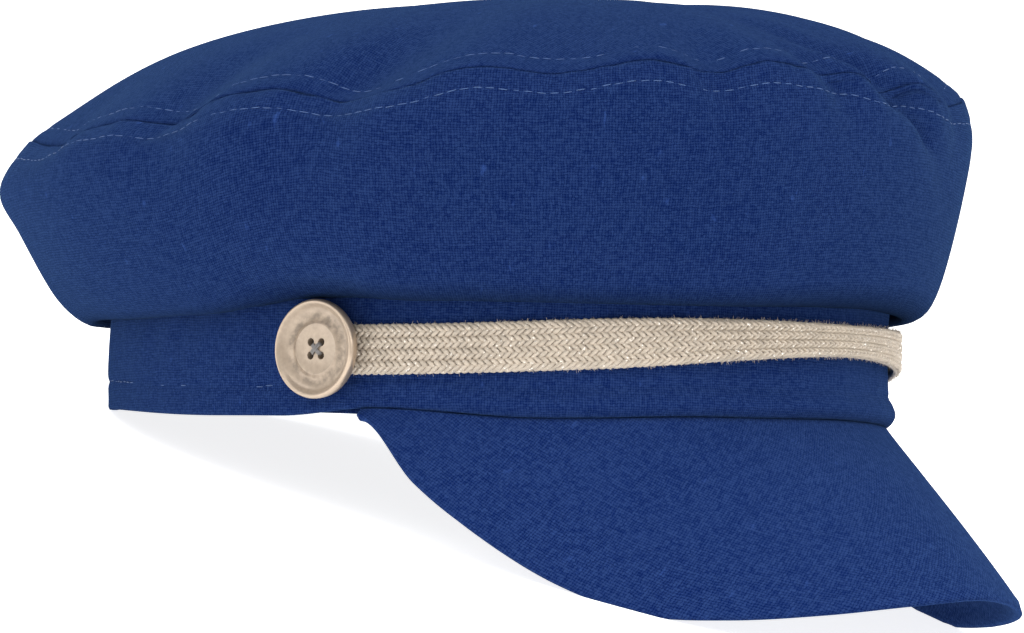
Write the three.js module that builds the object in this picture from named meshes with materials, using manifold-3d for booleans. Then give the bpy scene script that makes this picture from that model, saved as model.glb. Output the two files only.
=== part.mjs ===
// A Breton fisherman cap in linen cloth, at its real size, in millimetres, with +Z up.
// The cap lies on a surface as it does by itself, on the back of its headband and on the two low
// points of its peak. +X is the front of the cap and +Y its left side.
//
// The pieces are worked out in the cap's own frame first. There the headband stands upright, its
// lower rim lies in the plane z = 0, and its middle is the origin. A turn is an angle round the
// headband, in degrees from the front, positive towards the left. The finished cap is then tilted
// back until it rests, and its lowest cloth is pressed flat by the surface.
import * as THREE from "three";
import { ParametricGeometry } from "three/addons/geometries/ParametricGeometry.js";
import { mergeVertices } from "three/addons/utils/BufferGeometryUtils.js";
import Module from "manifold-3d";

const wasm = await Module();
wasm.setup();

// Driving dimensions of the headband. Length and width are those of the head inside it.
const headLength = 200;
const headWidth = 164;
const bandHeight = 31;
const bandWall = 2.4;
const bandSwell = 2; // how far the lower rim swells out over the peak's seam

// Driving dimensions of the crown
const crownTop = 102.4; // highest point of the crown above the headband's lower rim
const crownOverhang = 28; // the most that the crown stands out past the headband
const crownWall = 1.8;
const crownTopForward = 32; // how far the highest point lies in front of the cap's middle
const gatherDepth = 5; // depth of a full gather at the top seam

// Driving dimensions of the peak
const peakReach = 43; // how far the peak stands out in front, seen from above
const peakDrop = 47.5; // how far its lowest points fall below the headband
const peakWall = 2.4;
const peakEnd = 80; // turn at which the peak's corners meet the headband
const peakSwell = 1.1; // how much the peak bows out between seam and rim

// Driving dimensions of the braid and its two buttons
const braidFrontWidth = 8.4;
const braidSideWidth = 12.4; // the braid is wider where it lies flat on the sides
const braidSideTurn = 48; // turn from which it has that width
const braidThickness = 2.2;
const braidRibs = 4;
const braidRibDepth = 0.5;
const braidStandOff = 1.2; // how far the braid stands clear of the headband in front
const braidFreeTurn = 15; // turn up to which it stands clear
const braidSeatTurn = 45; // turn from which it lies on the headband
const braidFrontHeight = 19.9; // middle of the braid above the lower rim, in front
const buttonDiameter = 24;
const buttonThickness = 3.4;
const buttonTurn = 84.8;
const buttonLean = 7; // degrees that each button leans back, as its front half lies on the braid
const buttonHeight = 14.2; // centre of each button above the lower rim
const buttonHoleDiameter = 2;
const buttonHoleSpacing = 3.2;

// Free space between pieces that are sewn together, and how deep the cloth is pressed where it rests
const seamGap = 0.3;
const restDepth = 1;

// Steps of each piece round the cap, and of its cloth from edge to edge
const crownSteps = 90;
const crownSideRows = 11;
const crownTopRows = 7;
const bandSteps = 60;
const peakSteps = 44;
const peakRows = 5;
const braidSteps = 48;
const buttonSteps = 32;

const materials = {
  linen: new THREE.MeshStandardMaterial({ color: 0x1f3f86, roughness: 0.92 }),
  braid: new THREE.MeshStandardMaterial({ color: 0xd3c5b1, roughness: 0.6, metalness: 0.15 }),
  button: new THREE.MeshStandardMaterial({ color: 0xcdb99c, roughness: 0.42, metalness: 0.35 }),
};

// Outer face of the crown's side at turns from front to back, the same on both sides. Out counts
// from the headband in shares of crownOverhang, and up counts from the headband's lower rim in
// shares of crownTop. Dome says how square the top is above its seam.
const crownSections = [
  {
    turn: 0,
    rollOut: 0.11, rollUp: 0.27, lowOut: 0.37, lowUp: 0.32, wallOut: 0.54, wallUp: 0.46,
    bulgeOut: 0.69, bulgeUp: 0.69, seamOut: 0.61, seamUp: 0.805, dome: 3.6,
  },
  {
    turn: 36,
    rollOut: 0.11, rollUp: 0.257, lowOut: 0.37, lowUp: 0.29, wallOut: 0.56, wallUp: 0.45,
    bulgeOut: 0.71, bulgeUp: 0.69, seamOut: 0.62, seamUp: 0.807, dome: 3.6,
  },
  {
    turn: 68,
    rollOut: 0.11, rollUp: 0.252, lowOut: 0.4, lowUp: 0.3, wallOut: 0.65, wallUp: 0.45,
    bulgeOut: 0.8, bulgeUp: 0.67, seamOut: 0.67, seamUp: 0.79, dome: 3.3,
  },
  {
    turn: 86,
    rollOut: 0.1, rollUp: 0.257, lowOut: 0.4, lowUp: 0.31, wallOut: 0.69, wallUp: 0.44,
    bulgeOut: 0.86, bulgeUp: 0.65, seamOut: 0.7, seamUp: 0.76, dome: 3.1,
  },
  {
    turn: 104,
    rollOut: 0.12, rollUp: 0.218, lowOut: 0.43, lowUp: 0.28, wallOut: 0.73, wallUp: 0.43,
    bulgeOut: 0.92, bulgeUp: 0.62, seamOut: 0.73, seamUp: 0.722, dome: 3.25,
  },
  {
    turn: 144,
    rollOut: 0.14, rollUp: 0.213, lowOut: 0.48, lowUp: 0.27, wallOut: 0.84, wallUp: 0.43,
    bulgeOut: 1.02, bulgeUp: 0.54, seamOut: 0.77, seamUp: 0.665, dome: 3.4,
  },
  {
    turn: 180,
    rollOut: 0.14, rollUp: 0.21, lowOut: 0.48, lowUp: 0.265, wallOut: 0.84, wallUp: 0.43,
    bulgeOut: 1.02, bulgeUp: 0.53, seamOut: 0.78, seamUp: 0.65, dome: 3.4,
  },
];

// Lower rim of the soft headband, once round from the back. Up is a share of bandHeight.
const rimRows = [
  { turn: -180, up: 0.08 },
  { turn: -145, up: 0.01 },
  { turn: -105, up: -0.055 },
  { turn: -93, up: -0.055 },
  { turn: -77, up: 0.015 },
  { turn: -55, up: -0.04 },
  { turn: -25, up: 0.01 },
  { turn: 0, up: 0.03 },
  { turn: 40, up: 0 },
  { turn: 75, up: -0.03 },
  { turn: 105, up: 0 },
  { turn: 145, up: 0.09 },
  { turn: 180, up: 0.08 },
];

// How far the top seam waves up and down, once round from the back, in shares of crownTop
const seamRows = [
  { turn: -180, up: -0.01 },
  { turn: -152, up: -0.008 },
  { turn: -124, up: -0.042 },
  { turn: -104, up: -0.023 },
  { turn: -88, up: -0.01 },
  { turn: -72, up: -0.04 },
  { turn: -61, up: 0.005 },
  { turn: -53, up: -0.009 },
  { turn: -40, up: 0.022 },
  { turn: -32, up: 0.008 },
  { turn: -24, up: 0.028 },
  { turn: -13, up: 0.021 },
  { turn: -6, up: -0.002 },
  { turn: 1, up: 0.014 },
  { turn: 12, up: -0.02 },
  { turn: 24, up: -0.018 },
  { turn: 35, up: 0.01 },
  { turn: 45, up: -0.005 },
  { turn: 54, up: 0.015 },
  { turn: 64, up: -0.01 },
  { turn: 73, up: 0.01 },
  { turn: 84, up: -0.025 },
  { turn: 96, up: -0.01 },
  { turn: 120, up: -0.04 },
  { turn: 148, up: -0.015 },
  { turn: 180, up: -0.01 },
];

// Gathers where the crown's top is eased onto its side. Depth is a share of gatherDepth, negative
// for a ridge. Width is in degrees of turn. Fall and rise say how far the gather runs down the side
// and over the top, in shares of crownTop, and lean is how far it turns over that height.
const gathers = [
  { turn: -2, depth: 1, width: 4.5, fall: 0.14, rise: 0.25, lean: -60 },
  { turn: -16, depth: 0.6, width: 4, fall: 0.12, rise: 0.25, lean: -30 },
  { turn: -32, depth: 0.55, width: 4.5, fall: 0.12, rise: 0.18, lean: 0 },
  { turn: -51, depth: 0.3, width: 7, fall: 0.12, rise: 0.15, lean: 0 },
  { turn: -79, depth: 1.1, width: 5.5, fall: 0.2, rise: 0.2, lean: 15 },
  { turn: -104, depth: 1, width: 6, fall: 0.16, rise: 0.25, lean: 0 },
  { turn: -130, depth: 0.4, width: 6, fall: 0.15, rise: 0.2, lean: 0 },
  { turn: -158, depth: 0.5, width: 6, fall: 0.15, rise: 0.2, lean: 0 },
  { turn: 178, depth: 0.4, width: 6, fall: 0.15, rise: 0.2, lean: 0 },
  { turn: 156, depth: 0.6, width: 6, fall: 0.15, rise: 0.2, lean: 10 },
  { turn: 131, depth: 0.35, width: 6, fall: 0.15, rise: 0.18, lean: 0 },
  { turn: 107, depth: 0.8, width: 6, fall: 0.16, rise: 0.22, lean: 0 },
  { turn: 83, depth: 0.5, width: 6, fall: 0.2, rise: 0.18, lean: -10 },
  { turn: 60, depth: 0.6, width: 5, fall: 0.14, rise: 0.2, lean: 0 },
  { turn: 41, depth: 0.35, width: 6, fall: 0.12, rise: 0.15, lean: 0 },
  { turn: 18, depth: 0.6, width: 5, fall: 0.15, rise: 0.22, lean: 20 },
];

// Rim of the peak from its middle to its corner, the same on both sides. Turn is a share of
// peakEnd, out a share of peakReach and down a share of peakDrop.
const peakSections = [
  { turn: 0, out: 1, down: 0.86 },
  { turn: 0.125, out: 0.945, down: 0.9 },
  { turn: 0.25, out: 0.81, down: 0.96 },
  { turn: 0.375, out: 0.63, down: 1 },
  { turn: 0.5, out: 0.445, down: 0.99 },
  { turn: 0.625, out: 0.315, down: 0.855 },
  { turn: 0.75, out: 0.23, down: 0.635 },
  { turn: 0.875, out: 0.15, down: 0.36 },
  { turn: 1, out: 0.03, down: 0.02 },
];

// Turned face and back of a button. Radius is a share of its half diameter and height a share of
// its thickness.
const buttonProfile = [
  { radius: 0, height: 0.1 },
  { radius: 0.86, height: 0 },
  { radius: 0.98, height: 0.3 },
  { radius: 1, height: 0.62 },
  { radius: 0.99, height: 0.92 },
  { radius: 0.965, height: 1 },
  { radius: 0.88, height: 0.86 },
  { radius: 0.76, height: 0.62 },
  { radius: 0.62, height: 0.5 },
  { radius: 0.52, height: 0.6 },
  { radius: 0, height: 0.58 },
];

// Value of one column of a table at a place along it, on a smooth curve through the rows. The curve
// mirrors past the first and last row, because both sides of the cap are alike.
function column(table, name, place) {
  const last = table.length - 1;
  const row = (i) => table[i < 0 ? -i : i > last ? 2 * last - i : i][name];
  let i = 0;
  while (i < last - 1 && place > table[i + 1].turn) i += 1;
  const f = THREE.MathUtils.clamp((place - table[i].turn) / (table[i + 1].turn - table[i].turn), 0, 1);
  const [a, b, c, d] = [row(i - 1), row(i), row(i + 1), row(i + 2)];
  return b + 0.5 * f * (c - a + f * (2 * a - 5 * b + 4 * c - d + f * (3 * (b - c) + d - a)));
}

// Height of a soft wave at a turn, from the rows of its crests and dips
function wave(rows, turn) {
  const i = rows.findIndex((row, n) => n > 0 && turn <= row.turn);
  const [low, high] = [rows[i - 1], rows[i]];
  const place = THREE.MathUtils.smoothstep(turn, low.turn, high.turn);
  return THREE.MathUtils.lerp(low.up, high.up, place);
}

// Height of the headband's lower rim at a turn, over the plane that it roughly lies in
function rimUp(turn) {
  return wave(rimRows, turn) * bandHeight;
}

// Half length and half width of the headband's outer face
const bandHalfLength = headLength / 2 + bandWall;
const bandHalfWidth = headWidth / 2 + bandWall;

// Direction straight out from the headband at a turn
function outward(turn) {
  const t = THREE.MathUtils.degToRad(turn);
  return new THREE.Vector3(Math.cos(t) / bandHalfLength, Math.sin(t) / bandHalfWidth, 0).normalize();
}

// Point in the cap's frame, out from the headband's outer face at a turn and up from its lower rim
function around(turn, out, up) {
  const t = THREE.MathUtils.degToRad(turn);
  const foot = new THREE.Vector3(bandHalfLength * Math.cos(t), bandHalfWidth * Math.sin(t), up);
  return foot.addScaledVector(outward(turn), out);
}

// Closes a surface that is bent round until its edges meet: merges them and drops empty faces
function closed(geometry) {
  geometry.deleteAttribute("normal");
  geometry.deleteAttribute("uv");
  const merged = mergeVertices(geometry, 1e-3);
  const corners = merged.index.array;
  const kept = [];
  for (let i = 0; i < corners.length; i += 3) {
    const [a, b, c] = [corners[i], corners[i + 1], corners[i + 2]];
    if (a !== b && b !== c && c !== a) kept.push(a, b, c);
  }
  merged.setIndex(kept);
  return merged;
}

// Solid that runs round the whole cap. Section gives the closed outline of its cloth at a turn, as
// a list of points with x out and y up, or as points in the cap's frame.
function ring(steps, section) {
  const sections = [];
  for (let i = 0; i < steps; i += 1) sections.push(section((360 * i) / steps - 180));
  const count = sections[0].length;
  return closed(
    new ParametricGeometry(
      (u, v, target) => target.copy(sections[Math.round(u * steps) % steps][Math.round(v * count) % count]),
      steps,
      count,
    ),
  );
}

// Solid that runs round the front from one turn to its mirror, with both ends closed
function arc(steps, end, section) {
  const sections = [];
  for (let i = 0; i <= steps; i += 1) sections.push(section(end * ((2 * i) / steps - 1)));
  const count = sections[0].length;
  const middle = (points) =>
    points.reduce((sum, point) => sum.add(point), new THREE.Vector3()).divideScalar(count);
  const ends = [middle(sections[0]), middle(sections[steps])];
  return closed(
    new ParametricGeometry(
      (u, v, target) => {
        const i = Math.round(u * (steps + 2)) - 1;
        if (i < 0) target.copy(ends[0]);
        else if (i > steps) target.copy(ends[1]);
        else target.copy(sections[i][Math.round(v * count) % count]);
      },
      steps + 2,
      count,
    ),
  );
}

// How deep the gathers press in at a turn, for a height over the top seam in millimetres, negative
// down the side
function gatherAt(turn, over) {
  let depth = 0;
  for (const gather of gathers) {
    const reach = (over < 0 ? gather.fall : gather.rise) * crownTop;
    const centre = gather.turn + (gather.lean * over) / crownTop;
    const away = THREE.MathUtils.euclideanModulo(turn - centre + 180, 360) - 180;
    depth += gather.depth * Math.exp(-((away / gather.width) ** 2) - (over / reach) ** 2);
  }
  return gatherDepth * depth;
}

// Outer face of the crown's side at a turn, from the headband to the top seam, with x out and y up
function sideLine(turn) {
  const at = (name) => column(crownSections, name, Math.abs(turn));
  const points = [
    new THREE.Vector2(-bandWall / 2, bandHeight + seamGap),
    new THREE.Vector2(seamGap + bandWall / 3, bandHeight + seamGap / 2),
  ];
  for (const name of ["roll", "low", "wall", "bulge", "seam"]) {
    points.push(new THREE.Vector2(at(`${name}Out`) * crownOverhang, at(`${name}Up`) * crownTop));
  }
  points.at(-1).y += wave(seamRows, turn) * crownTop;
  return new THREE.SplineCurve(points);
}

// Direction into the cloth at the top seam, shared by both pieces that meet there
const seamInward = new THREE.Vector2(-1, -0.75).normalize();
const seamAway = new THREE.Vector2(-seamInward.y, seamInward.x);

// Cloth of the crown's side at a turn: outer face upwards, then inner face back down
function sideSection(turn) {
  const line = sideLine(turn);
  const seam = line.getPoint(1);
  const outer = [];
  const inner = [];
  for (let i = 0; i <= crownSideRows; i += 1) {
    const place = i / crownSideRows;
    const point = line.getPoint(place);
    const tangent = line.getTangent(place);
    const inward = i < crownSideRows ? new THREE.Vector2(-tangent.y, tangent.x) : seamInward;
    point.addScaledVector(inward, gatherAt(turn, point.y - seam.y));
    if (i === crownSideRows) point.addScaledVector(seamAway, seamGap);
    outer.push(around(turn, point.x, point.y));
    point.addScaledVector(inward, crownWall);
    inner.unshift(around(turn, point.x, point.y));
  }
  return [...outer, ...inner];
}

// Cloth of the crown's top at a turn: outer face inwards to the highest point, then inner face back
const topCentre = new THREE.Vector3(crownTopForward, 0, crownTop);
function topSection(turn) {
  const seam = sideLine(turn).getPoint(1);
  const dome = column(crownSections, "dome", Math.abs(turn));
  const edge = around(turn, seam.x, seam.y);
  const span = new THREE.Vector2(topCentre.x - edge.x, topCentre.y - edge.y).length();
  const rise = topCentre.z - edge.z;
  const towards = new THREE.Vector3(topCentre.x - edge.x, topCentre.y - edge.y, 0).divideScalar(span);
  const outer = [];
  const inner = [];
  for (let i = 0; i <= crownTopRows; i += 1) {
    const place = (i / crownTopRows) ** 1.35;
    const slope = (rise * dome * (1 - place) ** (dome - 1)) / span;
    const point = edge.clone().addScaledVector(towards, span * place);
    point.z += rise * (1 - (1 - place) ** dome);
    const inward = towards.clone().multiplyScalar(slope);
    inward.z = -1;
    if (i === 0) {
      inward.copy(outward(turn)).multiplyScalar(seamInward.x);
      inward.z = seamInward.y;
    }
    inward.normalize();
    const over = Math.hypot(span * place, point.z - edge.z);
    point.addScaledVector(inward, gatherAt(turn, over));
    outer.push(point.clone());
    inner.unshift(point.addScaledVector(inward, crownWall).clone());
  }
  return [...outer, ...inner];
}

// Cloth of the headband at a turn. Its lower rim swells out where the peak is sewn under it.
function bandSection(turn) {
  const swell = bandSwell * (1 - THREE.MathUtils.smoothstep(Math.abs(turn), 0.7 * peakEnd, peakEnd));
  const rim = rimUp(turn);
  const outline = [
    [-bandWall, 0],
    [-0.3 * bandWall, 0],
    [0.2 * swell, 0.02],
    [swell, 0.09],
    [0.4 * swell, 0.2],
    [0, 0.31],
    [0, 1],
    [-bandWall, 1],
  ];
  return outline.map(([out, up]) => around(turn, out, THREE.MathUtils.lerp(rim, bandHeight, up)));
}

// Cloth of the peak at a turn: inner face down to the rim, round it, and outer face back up
function peakSection(turn) {
  const at = (name) => column(peakSections, name, Math.abs(turn) / peakEnd);
  const root = new THREE.Vector2(0, rimUp(turn) - seamGap);
  const rim = new THREE.Vector2(at("out") * peakReach, -at("down") * peakDrop);
  const fall = rim.clone().sub(root);
  const along = fall.clone().normalize();
  const inward = new THREE.Vector2(along.y, -along.x);
  const swell = (peakSwell * fall.length()) / peakDrop;
  const outer = [];
  const inner = [];
  for (let i = 0; i <= peakRows; i += 1) {
    const place = i / peakRows;
    const point = root.clone().addScaledVector(fall, place);
    point.addScaledVector(inward, -4 * swell * place * (1 - place));
    outer.push(around(turn, point.x, point.y));
    if (i === 0) point.x -= peakWall;
    else point.addScaledVector(inward, peakWall);
    inner.unshift(around(turn, point.x, point.y));
  }
  const edge = rim.addScaledVector(inward, peakWall / 2).addScaledVector(along, peakWall / 4);
  return [...outer, around(turn, edge.x, edge.y), ...inner].reverse();
}

// The braid at a turn: a flat strip with ribs along its outer face
function braidSection(turn) {
  const front = 1 - THREE.MathUtils.smoothstep(Math.abs(turn), 0, buttonTurn);
  const centre = THREE.MathUtils.lerp(buttonHeight, braidFrontHeight, front);
  const seated = THREE.MathUtils.smoothstep(Math.abs(turn), braidFreeTurn, braidSeatTurn);
  const back = seamGap + braidStandOff * (1 - seated);
  const side = THREE.MathUtils.smoothstep(Math.abs(turn), 0, braidSideTurn);
  const width = THREE.MathUtils.lerp(braidFrontWidth, braidSideWidth, side);
  const points = [];
  for (let i = 0; i <= 2 * braidRibs; i += 1) {
    const groove = i % 2 === 0 ? braidRibDepth : 0;
    const up = centre + width * (i / (2 * braidRibs) - 0.5);
    points.push(around(turn, back + braidThickness - groove, up));
  }
  points.push(around(turn, back, centre + width / 2));
  points.push(around(turn, back, centre - width / 2));
  return points;
}

// Geometry as a manifold solid, and back again
function toSolid(geometry) {
  const position = geometry.attributes.position;
  return new wasm.Manifold(
    new wasm.Mesh({
      numProp: 3,
      vertProperties: new Float32Array(position.array),
      triVerts: new Uint32Array(geometry.index.array),
    }),
  );
}
function toGeometry(solid) {
  const mesh = solid.getMesh();
  const geometry = new THREE.BufferGeometry();
  geometry.setAttribute("position", new THREE.BufferAttribute(mesh.vertProperties, 3));
  geometry.setIndex(new THREE.BufferAttribute(mesh.triVerts, 1));
  return geometry;
}

// A button with its four holes, lying on its back round the Z axis
function buttonGeometry() {
  const profile = buttonProfile.map(
    (row) => new THREE.Vector2((row.radius * buttonDiameter) / 2, row.height * buttonThickness),
  );
  const turned = closed(new THREE.LatheGeometry(profile, buttonSteps)).rotateX(Math.PI / 2);
  let solid = toSolid(turned);
  const hole = new THREE.CylinderGeometry(
    buttonHoleDiameter / 2,
    buttonHoleDiameter / 2,
    3 * buttonThickness,
    12,
  ).rotateX(Math.PI / 2);
  for (const side of [-1, 1]) {
    for (const end of [-1, 1]) {
      const placed = hole.clone().translate((side * buttonHoleSpacing) / 2, (end * buttonHoleSpacing) / 2, 0);
      solid = solid.subtract(toSolid(closed(placed)));
    }
  }
  return toGeometry(solid);
}

// A button on the braid's end at a turn. It leans away from the front.
function buttonAt(turn) {
  const centre = around(turn, 2 * seamGap + braidThickness, buttonHeight);
  const up = new THREE.Vector3(0, 0, 1);
  const lean = THREE.MathUtils.degToRad(Math.sign(turn) * buttonLean);
  const facing = outward(turn).applyAxisAngle(up, lean);
  const frame = new THREE.Matrix4().makeBasis(up.clone().cross(facing), up, facing);
  return buttonGeometry().applyMatrix4(frame.setPosition(centre));
}

const pieces = {
  crown_top: [ring(crownSteps, topSection), materials.linen],
  crown_side: [ring(crownSteps, sideSection), materials.linen],
  headband: [ring(bandSteps, bandSection), materials.linen],
  peak: [arc(peakSteps, peakEnd, peakSection), materials.linen],
  braid: [arc(braidSteps, buttonTurn, braidSection), materials.braid],
  button_right: [buttonAt(-buttonTurn), materials.button],
  button_left: [buttonAt(buttonTurn), materials.button],
};

// Lowest corner of a geometry once the cap is tilted
function lowest(geometry, tilt) {
  const position = geometry.attributes.position;
  let low = Infinity;
  for (let i = 0; i < position.count; i += 1) {
    low = Math.min(low, position.getX(i) * Math.sin(tilt) + position.getZ(i) * Math.cos(tilt));
  }
  return low;
}

// Tilt at which the peak and the back of the headband are equally low
let [level, steep] = [0, Math.PI / 4];
while (steep - level > 1e-7) {
  const tilt = (level + steep) / 2;
  if (lowest(pieces.peak[0], tilt) < lowest(pieces.headband[0], tilt)) level = tilt;
  else steep = tilt;
}
const restTilt = level;
const restHeight = -restDepth - lowest(pieces.peak[0], restTilt);

// Presses flat what the tilted cap would push through the surface that it rests on
function rested(geometry) {
  const position = geometry.attributes.position;
  for (let i = 0; i < position.count; i += 1) {
    const [x, z] = [position.getX(i), position.getZ(i)];
    const below = restHeight + x * Math.sin(restTilt) + z * Math.cos(restTilt);
    if (below < 0) {
      position.setX(i, x - below * Math.sin(restTilt));
      position.setZ(i, z - below * Math.cos(restTilt));
    }
  }
  return geometry;
}

const cap = new THREE.Group();
cap.name = "cap";
for (const [name, [geometry, material]] of Object.entries(pieces)) {
  const mesh = new THREE.Mesh(rested(geometry), material);
  mesh.geometry.computeVertexNormals();
  mesh.name = name;
  cap.add(mesh);
}
cap.rotation.y = -restTilt;
cap.position.z = restHeight;
cap.updateMatrixWorld(true);
const middle = new THREE.Box3().setFromObject(cap, true).getCenter(new THREE.Vector3());
cap.position.x -= middle.x;
cap.position.y -= middle.y;

const group = new THREE.Group();
group.add(cap);
export default group;
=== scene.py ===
import math
import random
from bisect import bisect_right
from collections import namedtuple
from functools import lru_cache

import bmesh
import bpy
from bpy.props import FloatProperty, FloatVectorProperty, IntProperty, PointerProperty
from mathutils import Matrix, Vector, noise


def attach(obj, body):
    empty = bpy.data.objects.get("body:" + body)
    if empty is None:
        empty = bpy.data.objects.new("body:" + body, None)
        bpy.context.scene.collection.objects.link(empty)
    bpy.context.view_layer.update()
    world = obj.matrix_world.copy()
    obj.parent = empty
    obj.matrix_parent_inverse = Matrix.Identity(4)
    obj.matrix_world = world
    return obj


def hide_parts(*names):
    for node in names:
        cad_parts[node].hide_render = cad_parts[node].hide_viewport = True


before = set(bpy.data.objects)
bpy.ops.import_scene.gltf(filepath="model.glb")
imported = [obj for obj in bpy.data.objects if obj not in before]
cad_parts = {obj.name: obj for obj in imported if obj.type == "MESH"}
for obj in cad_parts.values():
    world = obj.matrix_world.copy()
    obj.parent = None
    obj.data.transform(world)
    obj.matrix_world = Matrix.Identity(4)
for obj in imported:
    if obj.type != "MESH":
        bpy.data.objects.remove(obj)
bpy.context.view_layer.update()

bl_info = {
    "name": "Breton fisherman cap",
    "version": (1, 0, 0),
    "blender": (4, 5, 0),
    "location": "3D View > Sidebar > Cap",
    "description": "Dresses the solids of a linen Breton fisherman cap, piece by piece",
    "category": "Object",
}

# Lengths are in metres. The pieces are worked out in the cap's own frame, where the headband
# stands upright, its lower rim lies in the plane z = 0 and its middle is the origin. A turn is an
# angle round the headband, in degrees from the front, positive towards the left.

MM = 0.001
BAND_HEIGHT = 31 * MM
BAND_WALL = 2.4 * MM
SEAM_GAP = 0.3 * MM


def flat_edge(node):
    """Direction and middle of the largest flat area of a solid."""
    flats = {}
    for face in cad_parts[node].data.polygons:
        key = tuple(round(part, 2) for part in face.normal)
        area, facing, middle = flats.get(key, (0.0, Vector(), Vector()))
        flats[key] = (
            area + face.area,
            facing + face.normal * face.area,
            middle + face.center * face.area,
        )
    area, facing, middle = max(flats.values(), key=lambda flat: flat[0])
    return facing.normalized(), middle / area


def cap_matrix():
    """Matrix from the cap's own frame to the scene, read from the headband's flat upper edge."""
    up, middle = flat_edge("headband")
    left = Vector((0, 1, 0))
    turned = Matrix((left.cross(up), left, up)).transposed().to_4x4()
    return Matrix.Translation(middle - up * BAND_HEIGHT) @ turned


CAP = cap_matrix()


def solid_points(node):
    """Corners of a solid in the cap's own frame."""
    back = CAP.inverted()
    return [back @ vertex.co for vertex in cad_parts[node].data.vertices]


BAND_RIM = [point for point in solid_points("headband") if point.z > BAND_HEIGHT - 0.1 * MM]
BAND_HALF_LENGTH = max(point.x for point in BAND_RIM)
BAND_HALF_WIDTH = max(point.y for point in BAND_RIM)
CROWN_TOP = max(point.z for point in solid_points("crown_top"))


def length_setting(name, description, default):
    """A length that can be set, in metres."""
    return FloatProperty(name=name, description=description, default=default, unit="LENGTH")


def colour_setting(name, description, default):
    """A colour that can be set."""
    return FloatVectorProperty(
        name=name,
        description=description,
        default=default,
        subtype="COLOR",
        size=3,
        min=0,
        max=1,
    )


class CrownSettings(bpy.types.PropertyGroup):
    """Sizes of the crown."""

    overhang: length_setting(
        "Overhang", "The most that the crown stands out past the headband", 28 * MM
    )
    top_forward: length_setting(
        "Top forward", "How far the highest point lies in front of the cap's middle", 32 * MM
    )
    wall: length_setting("Cloth", "Thickness of the crown's cloth", 1.8 * MM)
    gather_depth: length_setting("Gathers", "Depth of a full gather at the top seam", 5 * MM)
    pucker_depth: length_setting(
        "Puckers", "Depth of the small puckers along the top seam", 0.55 * MM
    )
    seam_depth: length_setting(
        "Seam depth", "How deep the cloth rolls in at the top seam", 0.6 * MM
    )
    slack: length_setting("Slack", "Height of the soft waves in the cloth", 1.3 * MM)


class BandSettings(bpy.types.PropertyGroup):
    """Sizes of the headband."""

    swell: length_setting("Swell", "How far the lower rim swells out over the peak's seam", 2 * MM)
    hem: length_setting("Hem", "Height of the hem's stitches over the lower rim", 7 * MM)


class PeakSettings(bpy.types.PropertyGroup):
    """Sizes of the peak."""

    reach: length_setting("Reach", "How far the peak stands out in front, seen from above", 43 * MM)
    drop: length_setting("Drop", "How far its lowest points fall below the headband", 47.5 * MM)
    wall: length_setting("Thickness", "Thickness of the peak", 2.4 * MM)
    end: FloatProperty(
        name="Corner",
        description="Turn at which its corners meet the headband, in degrees",
        default=80,
    )
    swell: length_setting("Bow", "How much the peak bows out between seam and rim", 1.1 * MM)


class BraidSettings(bpy.types.PropertyGroup):
    """Sizes of the flat braid."""

    front_width: length_setting("Width in front", "Width of the braid in front", 8.4 * MM)
    side_width: length_setting(
        "Width at the sides", "Width of the braid where it lies flat on the sides", 12.4 * MM
    )
    thickness: length_setting("Thickness", "Thickness of the braid", 2.2 * MM)
    stand_off: length_setting(
        "Stand off", "How far the braid stands clear of the headband in front", 1.2 * MM
    )
    front_height: length_setting(
        "Height in front", "Middle of the braid over the lower rim, in front", 19.9 * MM
    )
    strands: IntProperty(
        name="Strands", description="How many strands are braided", default=17, min=5
    )
    pitch: length_setting("Pitch", "Distance between two chevrons", 1.75 * MM)
    fibres: IntProperty(
        name="Fibres", description="Loose fibres tried along the edges", default=1500, min=0
    )
    fibre_length: length_setting("Fibre length", "Longest loose fibre", 1.4 * MM)
    fibre_thickness: length_setting(
        "Fibre thickness", "Thickness of a fibre at its root", 0.13 * MM
    )
    seed: IntProperty(name="Seed", description="Seed of the loose fibres", default=11, min=0)


class ButtonSettings(bpy.types.PropertyGroup):
    """Sizes of the two buttons."""

    diameter: length_setting("Diameter", "Diameter of a button", 24 * MM)
    thickness: length_setting("Thickness", "Thickness of a button", 3.4 * MM)
    turn: FloatProperty(
        name="Turn", description="Turn of each button from the front, in degrees", default=84.8
    )
    lean: FloatProperty(
        name="Lean",
        description="How far each button leans back on the braid, in degrees",
        default=7,
    )
    height: length_setting("Height", "Centre of each button over the lower rim", 14.2 * MM)
    hole: length_setting("Holes", "Diameter of a thread hole", 2 * MM)
    spacing: length_setting("Hole spacing", "Distance between two holes", 3.2 * MM)


class StitchSettings(bpy.types.PropertyGroup):
    """Sizes of the stitches."""

    length: length_setting("Length", "Length of a stitch", 2.5 * MM)
    pitch: length_setting("Pitch", "Distance from stitch to stitch", 3.1 * MM)
    thickness: length_setting("Thread", "Thickness of the thread", 0.27 * MM)
    seam_distance: length_setting(
        "Seam distance", "Distance of the two rows from the top seam", 5.8 * MM
    )


class FinishSettings(bpy.types.PropertyGroup):
    """Colours of the cap, and the weave of its linen."""

    linen_deep: colour_setting(
        "Deep linen",
        "Colour of the darkest linen threads and of the gaps between threads",
        (0.0012, 0.007, 0.055),
    )
    linen_pale: colour_setting(
        "Pale linen", "Colour of the palest linen threads", (0.0135, 0.031, 0.108)
    )
    thread: colour_setting("Thread", "Colour of the sewing thread", (0.035, 0.08, 0.21))
    braid: colour_setting("Braid", "Colour of the braid's yarn", (0.525, 0.445, 0.355))
    button: colour_setting("Button", "Colour of the buttons", (0.335, 0.265, 0.2))
    weave: length_setting("Weave", "Distance between two linen threads", 0.64 * MM)


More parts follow.
